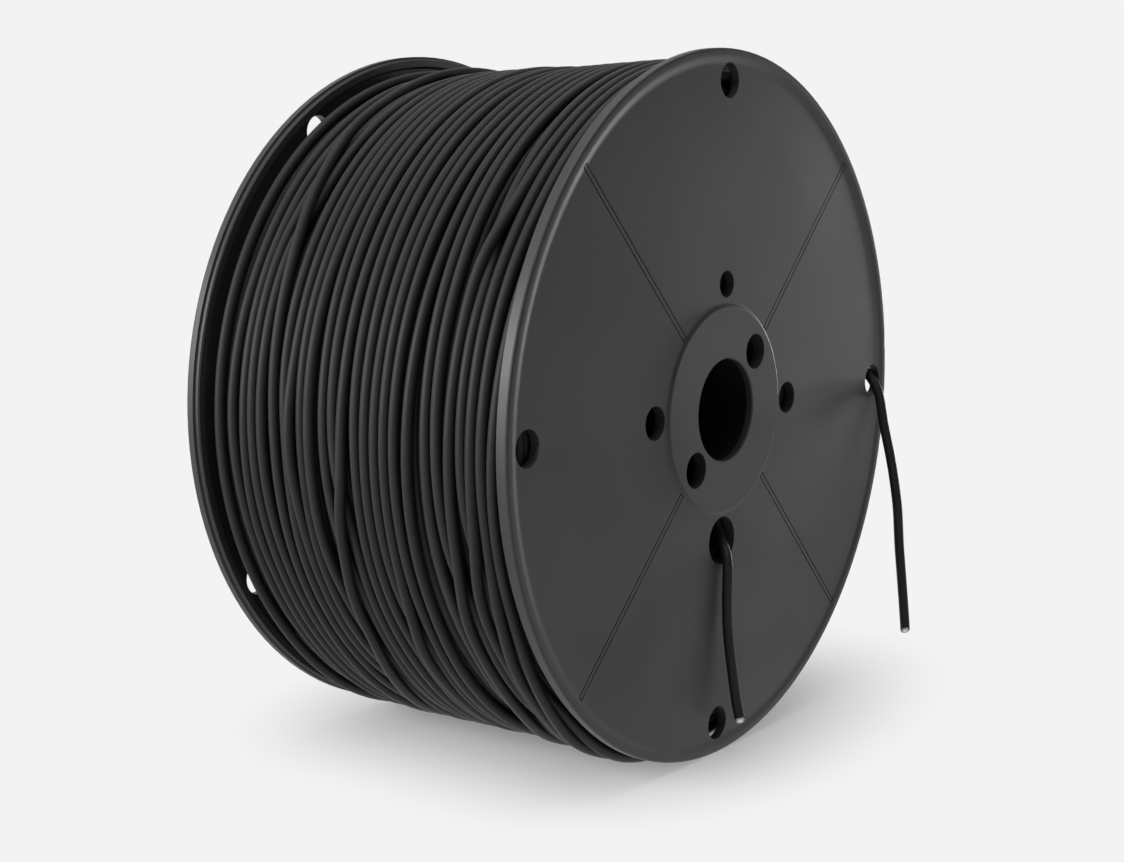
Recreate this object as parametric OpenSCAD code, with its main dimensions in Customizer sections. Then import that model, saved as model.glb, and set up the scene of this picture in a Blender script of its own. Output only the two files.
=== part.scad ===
// Wire spool: a moulded reel full of single-core cable.
// The spool's axis lies along Y, the front flange at -Y, +Z up; millimetres.
// The origin is the middle of the bore, half way between the flanges.

/* [Flanges] */
flange_d = 355;        // outside diameter over the rims
over_lips = 197;       // width over the two rim lips
lip_w = 3;             // radial width of the rim lip
lip_h = 0.8;           // lip height over the web's outer face
lip_run = 5;           // soft slope from the web up to the lip
web_t = 4.7;           // thickness of the web at the rim
web_rise = 0.7;        // the web's outer face is a very flat cone, this much proud at the hub
rim_t = 7.3;           // axial thickness of the whole rim
rim_foot = 4;          // radial width of the rim behind the web
rim_band = 4.4;        // part of the rim that has the full diameter
rim_step = 1.2;        // step down in radius behind that band
rim_round = 1.2;       // edge breaks on the rim
strip_w = 3.2;         // radial strips in the web, each ringed by a fine groove
groove_w = 0.6;        // width of that groove
groove_h = 0.7;
strip_gap = 3;         // the strip's outer end to the lip's top
rear_clock = 33;       // rear flange is turned this far against the front one

/* [Hub] */
hub_d = 107;           // raised hub disc, over the foot of its shoulder
hub_proud = 1;         // hub disc stands proud of the lips
hub_run = 2.2;         // soft shoulder round the hub disc
bore_d = 51.5;         // spindle bore
bore_bevel = 0.6;
drive_d = 18;          // two drive holes on a diagonal
drive_r = 38.5;
drive_a = 45;

/* [Cable holes] */
outer_hole_d = 17.2;   // four holes near the rim
outer_hole_r = 162;
side_hole_d = 16.6;    // inner holes, left and right
top_hole_d = 13.4;     // inner hole, top
inner_hole_r = 62.8;
start_hole_d = 24.3;   // inner hole, bottom: the cable starts here
start_hole_r = 66.6;

/* [Barrel and sleeve] */
barrel_d = 108;
barrel_wall = 3.5;
spigot_wall = 3;       // ring on each flange that carries the barrel
spigot_len = 12;
spigot_gap = 0.2;
arbor_wall = 2;
arbor_play = 0.65;     // the sleeve's inside lies this far behind the bore's wall
arbor_seat = 3;        // depth of the sleeve's seat in each flange
arbor_gap = 0.2;
rib_t = 2.5;
rib_len = 10;
hook_w = 10;           // snap hooks on the spigot, windows in the barrel
hook_h = 1.5;
hook_t = 3;
hook_back = 3;         // hook's distance from the spigot's end
window_gap = 1;

/* [Cable] */
cable_d = 5.4;
insulation_d = 4.6;
conductor_d = 2.5;
bared = 8;             // length of the separate end pieces inside the jacket
end_proud = 0.5;       // insulation stands out of the jacket's cut
cut_a = 37;            // the cable is cut at a slant
cut_side = 54;         // and the cuts face this far round to the left of the front
pack_gap = 0.3;        // pack to flange and to barrel
pack_sag = 2.7;        // the loose pack hangs this much low
pack_r = 165.8;        // outside of the inner layers
turn_gap = 0.2;        // outer layer over the inner layers
turns = 24;
turn_edge = 2.1;       // end turns keep this far off the rims

/* [Hidden] */
$fn = 96;
ring_n = 24;           // rings in a turn
sides = 6;
tail_sides = 10;
end_z = 24;            // height at which the outer layer ends
slot_play = 0.8;       // slot in the pack round the first run of the outer layer
slot_len = 70;
pocket_h = 16;         // pocket in the pack's flank where the cable starts
notch_h = 34;          // notch in the pack's edge where it ends
wander_a = 0.5;        // how far the turns stray along the axis
wander_b = 0.25;
lean = 1.6;            // the turns lie a little askew
rise_a = 0.35;         // and in height
rise_b = 0.2;
// tails: hand-chosen stations, front to back of the hole and down
start_pts = [[11.5, -88.4, -57], [11.3, -88.8, -60.2], [10.4, -90.1, -63.8], [8.6, -92.5, -67.4], [6, -95.6, -70.7],
    [3.3, -98.9, -73.9], [1.1, -101.3, -78.4], [-0.1, -102.3, -85], [-0.6, -102.6, -94], [-0.7, -103, -106],
    [-0.4, -104, -118], [0.3, -105.4, -130], [0.9, -106.9, -141], [1.4, -108.5, -151], [1.6, -110.4, -158.6]];
end_drop = [[0, 0, 0], [0, -0.2, -5.4], [-0.1, -0.8, -10], [-0.7, -2.4, -14.6], [-1.5, -5, -18.9], [-2, -8.5, -22.9],
    [-2.5, -12.1, -27], [-3.3, -15.3, -32.8], [-3.8, -17.3, -40], [-4.2, -19.5, -49.5], [-4.5, -22.4, -60],
    [-4.6, -25.2, -71], [-4.7, -27.9, -84], [-4.7, -29.7, -95], [-4.7, -30.8, -106], [-4.7, -31.8, -118],
    [-4.7, -33.2, -130], [-4.7, -34.6, -142], [-4.7, -36, -154], [-4.7, -37.3, -166.4]];

black = [0.07, 0.07, 0.075];
jacket = [0.05, 0.05, 0.055];
white = [0.9, 0.9, 0.88];
tin = [0.72, 0.72, 0.74];

// derived places, measured outward from the middle
flange_r = flange_d / 2;
z_lip = over_lips / 2;
z_web = z_lip - lip_h;
z_in = z_web - web_t;
z_rim = z_lip - rim_t;
z_hub = z_lip + hub_proud;
bore_r = bore_d / 2;
hub_r = hub_d / 2;
lip_r = flange_r - lip_w;
web_r = lip_r - lip_run;
foot_r = flange_r - rim_foot;
z_root = z_web + web_rise;
strip_l = lip_r - strip_gap - hub_r;
web_slope = atan(web_rise / (web_r - hub_r));
barrel_r = barrel_d / 2;
spigot_r = barrel_r - barrel_wall - spigot_gap;
arbor_ri = bore_r + arbor_play;
arbor_ro = arbor_ri + arbor_wall;
z_seat = z_in + arbor_seat;
hook_z = z_in - spigot_len + hook_back;
cable_r = cable_d / 2;
y_pack = z_in - pack_gap;

// ---- flange moulding, outer face towards +Z ----
module holes_at(r, d, angles)
    for (a = angles) rotate([0, 0, a]) translate([r, 0, z_in - 1]) cylinder(h = z_hub - z_in + 2, d = d);

// points of a soft step from [r0, z0] to [r1, z1], level at both ends
function soft_step(r0, z0, r1, z1, n = 6) =
    [for (i = [0 : n]) [r0 + (r1 - r0) * i / n, z1 + (z0 - z1) * (1 + cos(180 * i / n)) / 2]];

// the fine groove round one strip, following the web's slope
module strip_groove() translate([hub_r, 0, z_root]) rotate([0, web_slope, 0]) difference() {
    translate([0, -strip_w / 2, -groove_h]) cube([strip_l, strip_w, groove_h + 1]);
    translate([groove_w, groove_w - strip_w / 2, -groove_h - 1]) cube([strip_l - 2 * groove_w, strip_w - 2 * groove_w, groove_h + 3]);
}

module flange() difference() {
    union() {
        rotate_extrude($fn = 180) polygon(concat(
            [[bore_r, z_in], [bore_r, z_hub - bore_bevel], [bore_r + bore_bevel, z_hub]],
            soft_step(hub_r - hub_run, z_hub, hub_r, z_root),
            soft_step(web_r, z_web, lip_r, z_lip),
            [for (a = [90 : -30 : 0]) [flange_r - rim_round * (1 - cos(a)), z_lip - rim_round * (1 - sin(a))]],
            [[flange_r, z_lip - rim_band], [flange_r - rim_step, z_lip - rim_band - rim_step / 3],
            [flange_r - rim_step, z_rim + rim_round / 2], [flange_r - rim_step - rim_round / 2, z_rim],
            [foot_r - rim_step, z_rim], [foot_r - 2 * rim_step, z_in]]));
        // spigot ring that carries the barrel
        translate([0, 0, z_in - spigot_len]) difference() {
            cylinder(h = spigot_len + 0.5, r = spigot_r);
            translate([0, 0, -1]) cylinder(h = spigot_len + 3, r = spigot_r - spigot_wall);
        }
        // ribs between sleeve and spigot, clear of the drive holes
        for (a = [0, 90, 135, 180, 270, 315]) rotate([0, 0, a])
            translate([arbor_ro + arbor_gap, -rib_t / 2, z_in - rib_len])
                cube([spigot_r - spigot_wall / 2 - arbor_ro - arbor_gap, rib_t, rib_len + 0.5]);
        // snap hooks
        for (a = [45 : 90 : 315]) rotate([0, 0, a])
            translate([spigot_r - 1, -hook_w / 2, hook_z]) cube([hook_h + 1, hook_w, hook_t]);
    }
    translate([0, 0, z_in - 1]) cylinder(h = arbor_seat + 1, r = arbor_ro + arbor_gap);
    holes_at(drive_r, drive_d, [drive_a, drive_a + 180]);
    holes_at(outer_hole_r, outer_hole_d, [0, 90, 180, 270]);
    holes_at(inner_hole_r, side_hole_d, [0, 180]);
    holes_at(inner_hole_r, top_hole_d, [90]);
    holes_at(start_hole_r, start_hole_d, [270]);
    for (a = [45 : 90 : 315]) rotate([0, 0, a]) strip_groove();
}

module front_flange() color(black) rotate([90, 0, 0]) flange();
module rear_flange() color(black) rotate([0, -rear_clock, 0]) rotate([0, 0, 180]) rotate([90, 0, 0]) flange();

// ---- barrel and sleeve ----
module window(a, y) rotate([0, -a, 0])
    translate([barrel_r - barrel_wall - 1, y - hook_t / 2 - window_gap / 2, -hook_w / 2 - window_gap])
        cube([barrel_wall + 2, hook_t + window_gap, hook_w + 2 * window_gap]);

module barrel() color([0.16, 0.16, 0.17]) difference() {
    rotate([90, 0, 0]) difference() {
        translate([0, 0, -z_in]) cylinder(h = 2 * z_in, r = barrel_r);
        translate([0, 0, -z_in - 1]) cylinder(h = 2 * z_in + 2, r = barrel_r - barrel_wall);
    }
    for (a = [45 : 90 : 315]) {
        window(a, -(hook_z + hook_t / 2));
        window(a + rear_clock, hook_z + hook_t / 2);
    }
}

module arbor_tube() color([0.2, 0.2, 0.21]) rotate([90, 0, 0]) difference() {
    translate([0, 0, -z_seat]) cylinder(h = 2 * z_seat, r = arbor_ro);
    translate([0, 0, -z_seat - 1]) cylinder(h = 2 * z_seat + 2, r = arbor_ri);
}

// ---- cable ----
function unit(v) = v / norm(v);
function tangent(p, i) = unit(p[min(i + 1, len(p) - 1)] - p[max(i - 1, 0)]);

// one closed tube: rings is a list of [station, radius, slant], seen along path p;
// up(i) gives the vector that the first corner of ring i leans to
function ring(c, t, ref, r, n, slant) =
    let (u = unit(ref - (ref * t) * t), v = cross(t, u))
    [for (k = [0 : n - 1]) let (a = 360 * k / n, d = r * (cos(a) * u + sin(a) * v))
        c + d + slant * (d * v) * t];

module skin(rings, n) {
    m = len(rings);
    pts = concat([for (g = rings) for (q = g) q], [mean(rings[0])], [mean(rings[m - 1])]);
    faces = concat(
        [for (i = [0 : m - 2]) for (k = [0 : n - 1]) for (h = [0, 1])
            let (a = i * n + k, b = i * n + (k + 1) % n)
            h == 0 ? [a, a + n, b] : [b, a + n, b + n]],
        [for (k = [0 : n - 1]) [m * n, k, (k + 1) % n]],
        [for (k = [0 : n - 1]) [m * n + 1, (m - 1) * n + (k + 1) % n, (m - 1) * n + k]]);
    polyhedron(points = pts, faces = faces, convexity = 10);
}
function sum(v, i = 0) = i >= len(v) ? [0, 0, 0] : v[i] + sum(v, i + 1);
function mean(v) = sum(v) / len(v);

// outer layer: its rings are corners of a polygon, so the flat of each chord clears the pack
chord_dip = 1 - cos(180 / ring_n);
layer_r = (pack_r + turn_gap + cable_r + rise_a + rise_b) / (1 - chord_dip);
y_turn = z_rim - turn_edge - cable_r;
end_a = asin((end_z + cable_d + pack_sag) / layer_r);
t_end = turns - 0.05;
function angle_at(t) = end_a + 360 * (t_end - t);
// slow wander along the axis and in height, never the same in two neighbours
function wander(t) = wander_a * sin(360 * 0.37 * t + 40) + wander_b * sin(360 * 2.21 * t) + lean * sin(angle_at(t) - 60);
function rise(t) = rise_a * sin(360 * 0.41 * t + 200) + rise_b * sin(360 * 1.7 * t);
function turn_y(t) = (y_turn - lean - wander_a / 2) * (1 - 2 * t / t_end) + wander(t);
function turn_pt(t) = let (a = angle_at(t), r = layer_r + rise(t))
    [r * cos(a), turn_y(t), r * sin(a) - pack_sag];
ring_count = floor(t_end * ring_n);
// the first run lies in a slot of the pack, square to the slot's end wall
start_a = angle_at(0);
start_dir = [sin(start_a), 0, -cos(start_a)];
slot_r = pack_r - cable_r - 0.3;
first = [slot_r * cos(start_a), turn_y(0), slot_r * sin(start_a) - pack_sag];
lay0 = [for (i = [1 : ring_count]) turn_pt(i * t_end / ring_count)];
last = lay0[ring_count - 1];
end_pt = [last[0], last[1], last[2] - cable_d];
lay = concat([first - cable_d * start_dir, first], lay0, [end_pt]);
lay_t = concat([start_dir, start_dir], [for (i = [2 : ring_count]) tangent(lay, i)], [[0, 0, -1], [0, 0, -1]]);

module slot() translate([0, 0, -pack_sag]) rotate([0, -start_a, 0])
    translate([slot_r - cable_r - slot_play, first[1] - cable_r - slot_play, cable_d - slot_len])
        cube([20, cable_d + 2 * slot_play, slot_len]);
// the inmost turn's end leaves the pack's flank through a pocket behind the start hole
module start_pocket() let (p = start_pts[0])
    translate([p[0] - start_hole_d / 2, -y_pack - 1, p[2] - pocket_h])
        cube([start_hole_d / 2 + cable_r + slot_play, p[1] + cable_r + slot_play + y_pack + 1, pocket_h]);
// and the outmost turn's end crosses the pack's edge in a notch
module end_notch() let (q = end_pt + end_drop[5])
    translate([q[0] - cable_r - slot_play, -y_pack - 1, end_z - notch_h - 1])
        cube([20, end_pt[1] + cable_r + slot_play + y_pack + 1, notch_h]);
module cable_pack() color([0.1, 0.1, 0.105]) difference() {
    rotate([90, 0, 0]) translate([0, -pack_sag, -y_pack]) cylinder(h = 2 * y_pack, r = pack_r, $fn = 180);
    rotate([90, 0, 0]) translate([0, 0, -y_pack - 1]) cylinder(h = 2 * y_pack + 2, r = barrel_r + pack_gap);
    slot();
    start_pocket();
    end_notch();
}
module outer_turns() color(jacket)
    skin([for (i = [0 : len(lay) - 1]) ring(lay[i], lay_t[i], [lay[i][0], 0, lay[i][2] + pack_sag], cable_r, sides, 0)], sides);

// tails, each with a blind bore at its cut end for the insulation and conductor
end_pts = [for (q = end_drop) end_pt + q];
function cut_back(p, l) = let (n = len(p) - 1) p[n] - l * unit(p[n] - p[n - 1]);
tail_ref = [cos(cut_side), -sin(cut_side), 0];
slant = -tan(cut_a);
module tail(p, t0) {
    n = len(p) - 1;
    te = unit(p[n] - p[n - 1]);
    body = concat([ring(p[0], t0, tail_ref, cable_r, tail_sides, 0)],
        [for (i = [1 : n - 1]) ring(p[i], tangent(p, i), tail_ref, cable_r, tail_sides, 0)],
        [ring(cut_back(p, 4), te, tail_ref, cable_r, tail_sides, 0)]);
    skin(concat(body, [ring(p[n], te, tail_ref, cable_r, tail_sides, slant),
        ring(p[n], te, tail_ref, insulation_d / 2, tail_sides, slant),
        ring(p[n] - bared * te, te, tail_ref, insulation_d / 2, tail_sides, 0)]), tail_sides);
}
module tail_insulation(p) {
    n = len(p) - 1;
    te = unit(p[n] - p[n - 1]);
    out = p[n] + end_proud * te;
    skin([ring(p[n] - bared * te + 0.01 * te, te, tail_ref, insulation_d / 2, tail_sides, 0),
        ring(out, te, tail_ref, insulation_d / 2, tail_sides, slant),
        ring(out, te, tail_ref, conductor_d / 2, tail_sides, slant),
        ring(p[n] - (bared - 1) * te, te, tail_ref, conductor_d / 2, tail_sides, 0)], tail_sides);
}
module tail_conductor(p) {
    n = len(p) - 1;
    te = unit(p[n] - p[n - 1]);
    skin([ring(p[n] - (bared - 1) * te, te, tail_ref, conductor_d / 2, tail_sides, 0),
        ring(p[n] + (end_proud + 0.2) * te, te, tail_ref, conductor_d / 2, tail_sides, slant)], tail_sides);
}
module start_tail() color(jacket) tail(start_pts, [0, 0, -1]);
module start_insulation() color(white) tail_insulation(start_pts);
module start_conductor() color(tin) tail_conductor(start_pts);
module end_tail() color(jacket) tail(end_pts, [0, 0, -1]);
module end_insulation() color(white) tail_insulation(end_pts);
module end_conductor() color(tin) tail_conductor(end_pts);

// least gap of the outer layer to itself and to the layers under it
gaps = [for (i = [0 : len(lay) - ring_n - 5]) for (j = [-3 : 4]) if (i > 1 || j > -2) norm(lay[i] - lay[i + ring_n + j]) - cable_d];
under = [for (i = [3 : len(lay) - 1]) let (q = (lay[i] + lay[i - 1]) / 2) norm([q[0], q[2] + pack_sag]) - cable_r - pack_r];
low = [for (q = lay) norm([q[0], q[2]]) + cable_r];
echo(least_gap_between_turns = min(gaps), least_gap_to_inner_layers = min(under), farthest_from_axis = max(low), flange_r = flange_r);
echo(end_pt = end_pt, widest = [max([for (q = lay) q[1]]), min([for (q = lay) q[1]])] , y_turn = y_turn);

front_flange();
rear_flange();
barrel();
arbor_tube();
cable_pack();
outer_turns();
start_tail();
start_insulation();
start_conductor();
end_tail();
end_insulation();
end_conductor();
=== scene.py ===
# %% [markdown]
# # A reel of black cable
# The reel is two moulded flanges on a hollow barrel, wound full of a thin
# round cable. Both ends of the cable come out through the front flange.
# The hard mouldings come ready from the CAD part, which is the fixed frame
# here; this lesson adds what is soft (the cable) and what is seen (the
# finishes, the light and the floor). Blender counts in metres. The tables
# below are in millimetres, because that is how a reel is measured.

import math

import bpy
import numpy as np
from mathutils import Matrix


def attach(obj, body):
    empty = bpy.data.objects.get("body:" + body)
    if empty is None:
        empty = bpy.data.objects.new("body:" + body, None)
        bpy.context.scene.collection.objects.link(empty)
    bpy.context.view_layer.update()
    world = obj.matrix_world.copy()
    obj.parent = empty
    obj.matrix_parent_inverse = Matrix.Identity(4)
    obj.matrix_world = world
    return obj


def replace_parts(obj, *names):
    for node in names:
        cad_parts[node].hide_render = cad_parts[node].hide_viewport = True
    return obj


MM = 0.001
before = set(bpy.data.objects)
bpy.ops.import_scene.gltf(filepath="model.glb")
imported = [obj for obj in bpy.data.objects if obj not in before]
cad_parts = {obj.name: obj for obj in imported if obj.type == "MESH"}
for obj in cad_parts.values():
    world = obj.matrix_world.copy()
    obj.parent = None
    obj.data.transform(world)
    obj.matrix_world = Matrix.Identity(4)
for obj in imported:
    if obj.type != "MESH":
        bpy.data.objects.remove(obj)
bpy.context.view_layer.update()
print("nodes:", sorted(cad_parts))

# %% [markdown]
# ## The camera
# A camera is a place and three directions. It could be turned by three
# angles, but it is easy to mix up their order. So its matrix is written
# down: its columns are right, up, and the way back from what it looks at.

# %% Camera
CAMERA_AT = (-0.80020, -0.58194, 0.12677)
YAW, PITCH, ROLL = (math.radians(a) for a in (53.876, 8.437, 0.424))
SENSOR_MM, LENS_MM = 36.0, 60.21
CLIP_NEAR, CLIP_FAR = 0.05, 100.0


def placement(x, y, z, at):
    """The matrix whose columns are three directions and a place."""
    m = np.eye(4)
    m[:3, 0], m[:3, 1], m[:3, 2], m[:3, 3] = x, y, z, at
    return Matrix(m.tolist())


look = np.array([math.cos(PITCH) * math.sin(YAW), math.cos(PITCH) * math.cos(YAW),
                 -math.sin(PITCH)])
level = np.array([math.cos(YAW), -math.sin(YAW), 0.0])
above = np.cross(level, look)
right = level * math.cos(ROLL) + above * math.sin(ROLL)
up = above * math.cos(ROLL) - level * math.sin(ROLL)
camera = bpy.data.objects.new("camera", bpy.data.cameras.new("camera"))
bpy.context.scene.collection.objects.link(camera)
camera.data.sensor_width = SENSOR_MM
camera.data.lens = LENS_MM
camera.data.clip_start, camera.data.clip_end = CLIP_NEAR, CLIP_FAR
camera.matrix_world = placement(right, up, -look, CAMERA_AT)
bpy.context.scene.camera = camera
bpy.context.scene.view_settings.view_transform = "Standard"
print("camera at", CAMERA_AT)

# %% [markdown]
# ## A mesh from arrays
# Every soft piece here is a grid of points worked out with numpy. Adding the
# faces one by one would work too, but handing whole arrays to foreach_set is
# far quicker. A grid is closed round its columns, like the staves of a
# barrel, and its rows are left open or closed into a ring.


# %% Grid to mesh
def mesh_from(name, verts, quads, tris, quad_uv=None):
    """One mesh from points, four-sided faces and three-sided faces, all arrays."""
    mesh = bpy.data.meshes.new(name)
    mesh.vertices.add(len(verts))
    mesh.vertices.foreach_set("co", np.asarray(verts, np.float32).ravel())
    loops = np.concatenate([quads.ravel(), tris.ravel()]).astype(np.int32)
    mesh.loops.add(len(loops))
    mesh.loops.foreach_set("vertex_index", loops)
    sizes = np.concatenate([np.full(len(quads), 4), np.full(len(tris), 3)]).astype(np.int32)
    mesh.polygons.add(len(sizes))
    mesh.polygons.foreach_set("loop_start", (np.cumsum(sizes) - sizes).astype(np.int32))
    mesh.polygons.foreach_set("use_smooth", np.ones(len(sizes), bool))
    mesh.update(calc_edges=True)
    if quad_uv is not None:
        layer = mesh.uv_layers.new(name="along")
        flat_uv = np.zeros((len(loops), 2), np.float32)
        flat_uv[: quads.size] = quad_uv.reshape(-1, 2)
        layer.data.foreach_set("uv", flat_uv.ravel())
    mesh.validate()
    piece = bpy.data.objects.new(name, mesh)
    bpy.context.scene.collection.objects.link(piece)
    return piece


def grid_quads(rows, columns, ring=False, turned=False):
    """Corners (i, k), (i, k + 1), (i + 1, k + 1), (i + 1, k) of each face, with k
    closed. `ring` closes i as well; `turned` lists the corners the other way."""
    i, k = np.meshgrid(np.arange(rows if ring else rows - 1), np.arange(columns), indexing="ij")
    i2, k2 = (i + 1) % rows, (k + 1) % columns
    corners = [i * columns + k, i * columns + k2, i2 * columns + k2, i2 * columns + k]
    if turned:
        corners = [corners[0], corners[3], corners[2], corners[1]]
    return np.stack(corners, -1).reshape(-1, 4)


def join(name, made):
    """One piece of several meshes."""
    bpy.ops.object.select_all(action="DESELECT")
    for piece in made:
        piece.select_set(True)
    bpy.context.view_layer.objects.active = made[0]
    bpy.ops.object.join()
    made[0].name = made[0].data.name = name
    return made[0]


print("mesh helpers ready")

# %% [markdown]
# ## A tube along a path
# A cable is a circle carried along a line. Blender's own curves could do it,
# with a bevel, but then the ends and the pattern's coordinates can't be
# chosen. Here the rings are worked out directly, so an end can be cut at a
# slant, and the UV map measures metres along the cable and round it.


# %% Tube
def unit(v):
    """v / |v|, row by row."""
    return v / np.linalg.norm(v, axis=-1, keepdims=True)


def tangents(path):
    """Direction at each point: towards the next point from the one before."""
    return unit(np.gradient(path, axis=0))


def distance_along(path):
    """Length of the path up to each of its points."""
    return np.concatenate([[0.0], np.cumsum(np.linalg.norm(np.diff(path, axis=0), axis=1))])


def tube(name, path, out, radius, sides, ends=(None, None), slant=0.0):
    """P(i, k) = path_i + r (cos a_k n_i + sin a_k b_i), a_k = 2 pi k / sides,
    with n the part of `out` square to the path and b = t x n. `ends` gives the
    directions at the two ends. `slant` shears the last ring for a cut at an
    angle: it moves each of its points by slant r (d . b) t. Both ends are
    closed by triangles round a middle point."""
    t = tangents(path)
    for i, way in zip((0, -1), ends):
        if way is not None:
            t[i] = unit(np.array(way, float))
    out = np.broadcast_to(np.asarray(out, float), path.shape)
    n = unit(out - (out * t).sum(1, keepdims=True) * t)
    b = np.cross(t, n)
    a = np.arange(sides) * 2 * np.pi / sides
    d = np.cos(a)[None, :, None] * n[:, None] + np.sin(a)[None, :, None] * b[:, None]
    grid = path[:, None] + radius * d
    if slant:
        grid[-1] += slant * radius * (d[-1] @ b[-1])[:, None] * t[-1]
    verts = np.concatenate([grid.reshape(-1, 3), grid[0].mean(0)[None], grid[-1].mean(0)[None]])

    rows = len(path)
    k = np.arange(sides)
    k2 = (k + 1) % sides
    last_row, first_middle, last_middle = (rows - 1) * sides, rows * sides, rows * sides + 1
    tris = np.concatenate([np.stack([np.full(sides, first_middle), k2, k], -1),
                           np.stack([np.full(sides, last_middle), last_row + k, last_row + k2], -1)])

    length = distance_along(path)
    i, k = np.meshgrid(np.arange(rows - 1), np.arange(sides), indexing="ij")
    u = np.stack([length[i], length[i], length[i + 1], length[i + 1]], -1)
    v = np.stack([k, k + 1, k + 1, k], -1) * (2 * np.pi * radius / sides)
    return mesh_from(name, verts, grid_quads(rows, sides), tris, np.stack([u, v], -1))


print("tube ready")

# %% [markdown]
# ## Smooth lines through chosen points
# A cable has no kinks: its bend changes slowly from place to place. A curve
# made of cubics that share slope and bend where they meet has just that, and
# it passes through every point that it is given, which a Bezier curve
# doesn't. It takes one small set of equations.


# %% Smooth lines
def curve_through(stations, values, at):
    """The natural cubic through (stations, values), read at `at`. Its second
    derivatives M solve h0 M0 + 2 (h0 + h1) M1 + h1 M2 = 6 (slope1 - slope0)."""
    x, v = np.asarray(stations, float), np.asarray(values, float)
    v = v.reshape(len(x), -1)
    h = np.diff(x)
    rhs = np.zeros_like(v)
    rhs[1:-1] = 6 * (np.diff(v[1:], axis=0) / h[1:, None] - np.diff(v[:-1], axis=0) / h[:-1, None])
    a = np.eye(len(x))
    rows = np.arange(1, len(x) - 1)
    a[rows, rows - 1], a[rows, rows], a[rows, rows + 1] = h[:-1], 2 * (h[:-1] + h[1:]), h[1:]
    m = np.linalg.solve(a, rhs)
    j = np.clip(np.searchsorted(x, at, side="right") - 1, 0, len(h) - 1)
    p, q, w = (x[j + 1] - at)[:, None], (at - x[j])[:, None], h[j][:, None]
    return ((m[j] * p**3 + m[j + 1] * q**3) / (6 * w) + (v[j] / w - m[j] * w / 6) * p
            + (v[j + 1] / w - m[j + 1] * w / 6) * q)


def route(points_mm, count):
    """A smooth line of `count` points through the given stations, in metres."""
    p = np.array(points_mm, float) * MM
    s = distance_along(p)
    return curve_through(s, p, np.linspace(0, s[-1], count))


def smooth_line(v, passes):
    """Averages each value with its two neighbours, `passes` times; the ends stay."""
    for _ in range(passes):
        v = np.concatenate([v[:1], (v[:-2] + 2 * v[1:-1] + v[2:]) / 4, v[-1:]])
    return v


print("curve helpers ready")

# %% [markdown]
# ## The two tails
# A reel's cable starts behind a hole beside the barrel and ends behind one
# near the rim. Both ends are pulled out through the front flange and hang
# down under their own weight, a few centimetres proud of it. They could be
# simulated, but two short limp ends are quicker to lay out one by one: each
# is a list of stations, from inside the flange and out of its hole.

# %% Routes of the tails
CABLE, INSULATION, CONDUCTOR = 5.4 * MM, 4.6 * MM, 2.5 * MM
END = np.array([167.717, -85.953, 24.010])      # where the winding ends and its tail begins
START_ROUTE = [
    (11.5, -88.4, -57), (11.3, -88.8, -60.2), (10.4, -90.1, -63.8), (8.6, -92.5, -67.4),
    (6, -95.6, -70.7), (3.3, -98.9, -73.9), (1.1, -101.3, -78.4), (-0.1, -102.3, -85),
    (-0.6, -102.6, -94), (-0.7, -103, -106), (-0.4, -104, -118), (0.3, -105.4, -130),
    (0.9, -106.9, -141), (1.4, -108.5, -151), (1.6, -110.4, -158.6),
]
END_DROP = [                                    # from END
    (0, 0, 0), (0, -0.2, -5.4), (-0.1, -0.8, -10), (-0.7, -2.4, -14.6), (-1.5, -5, -18.9),
    (-2, -8.5, -22.9), (-2.5, -12.1, -27), (-3.3, -15.3, -32.8), (-3.8, -17.3, -40),
    (-4.2, -19.5, -49.5), (-4.5, -22.4, -60), (-4.6, -25.2, -71), (-4.7, -27.9, -84),
    (-4.7, -29.7, -95), (-4.7, -30.8, -106), (-4.7, -31.8, -118), (-4.7, -33.2, -130),
    (-4.7, -34.6, -142), (-4.7, -36, -154), (-4.7, -37.3, -166.4),
]
END_ROUTE = [tuple(END + np.array(q)) for q in END_DROP]
print("stations:", len(START_ROUTE), "and", len(END_ROUTE))

# %% [markdown]
# ## The cut ends
# The cable is cut with side cutters, at a slant. Inside the black sheath
# there is a white insulation round nineteen bright strands, and each stands
# out of the cut by a fraction of a millimetre. A picture of them on a flat
# end would look painted from close by, so each strand is a tube of its own.

# %% Strands
SLANT = -math.tan(math.radians(37))
CUT_SIDE = math.radians(54)                 # the cuts face this far round to the left of the front
STRAND_RINGS = ((0, 1), (1, 6), (2, 12))    # ring, and the strands in it
STRAND_FILL = 0.49                          # a strand's radius, in shares of its room
STRANDS_OUT = 0.7 * MM                      # past the sheath's cut
STRAND_STEPS = (-6, -3, 0)                  # mm, from the strand's tip
INSULATION_STEPS = (-5, -2, 0.5)            # mm, from the sheath's cut


def strands(name, path, way, side):
    """The bare end of the conductor: one strand in the middle, six round it and
    twelve round those, each a short tube cut at the same slant as the cable."""
    room = CONDUCTOR / 5
    middles = np.array([[r * room * math.cos(2 * math.pi * k / c + r),
                         r * room * math.sin(2 * math.pi * k / c + r)]
                        for r, c in STRAND_RINGS for k in range(c)])
    n = unit(side - (side @ way) * way)
    b = np.cross(way, n)
    tip = path[-1] + STRANDS_OUT * way
    made = []
    for j, (x, y) in enumerate(middles):
        end = tip + x * n + y * b + SLANT * y * way
        line = np.array([end + step * MM * way for step in STRAND_STEPS])
        made.append(tube(f"{name}_{j}", line, n, room * STRAND_FILL, 10, slant=SLANT))
    return join(name, made)


print("strands in a cable:", sum(c for _, c in STRAND_RINGS))

# %% [markdown]
# ## A tail put together
# A tail is three pieces: the sheath, which is the cord itself, and the ends
# of its insulation and its strands. They stay apart, because they are
# different materials, but they go wherever the cord goes.


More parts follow.
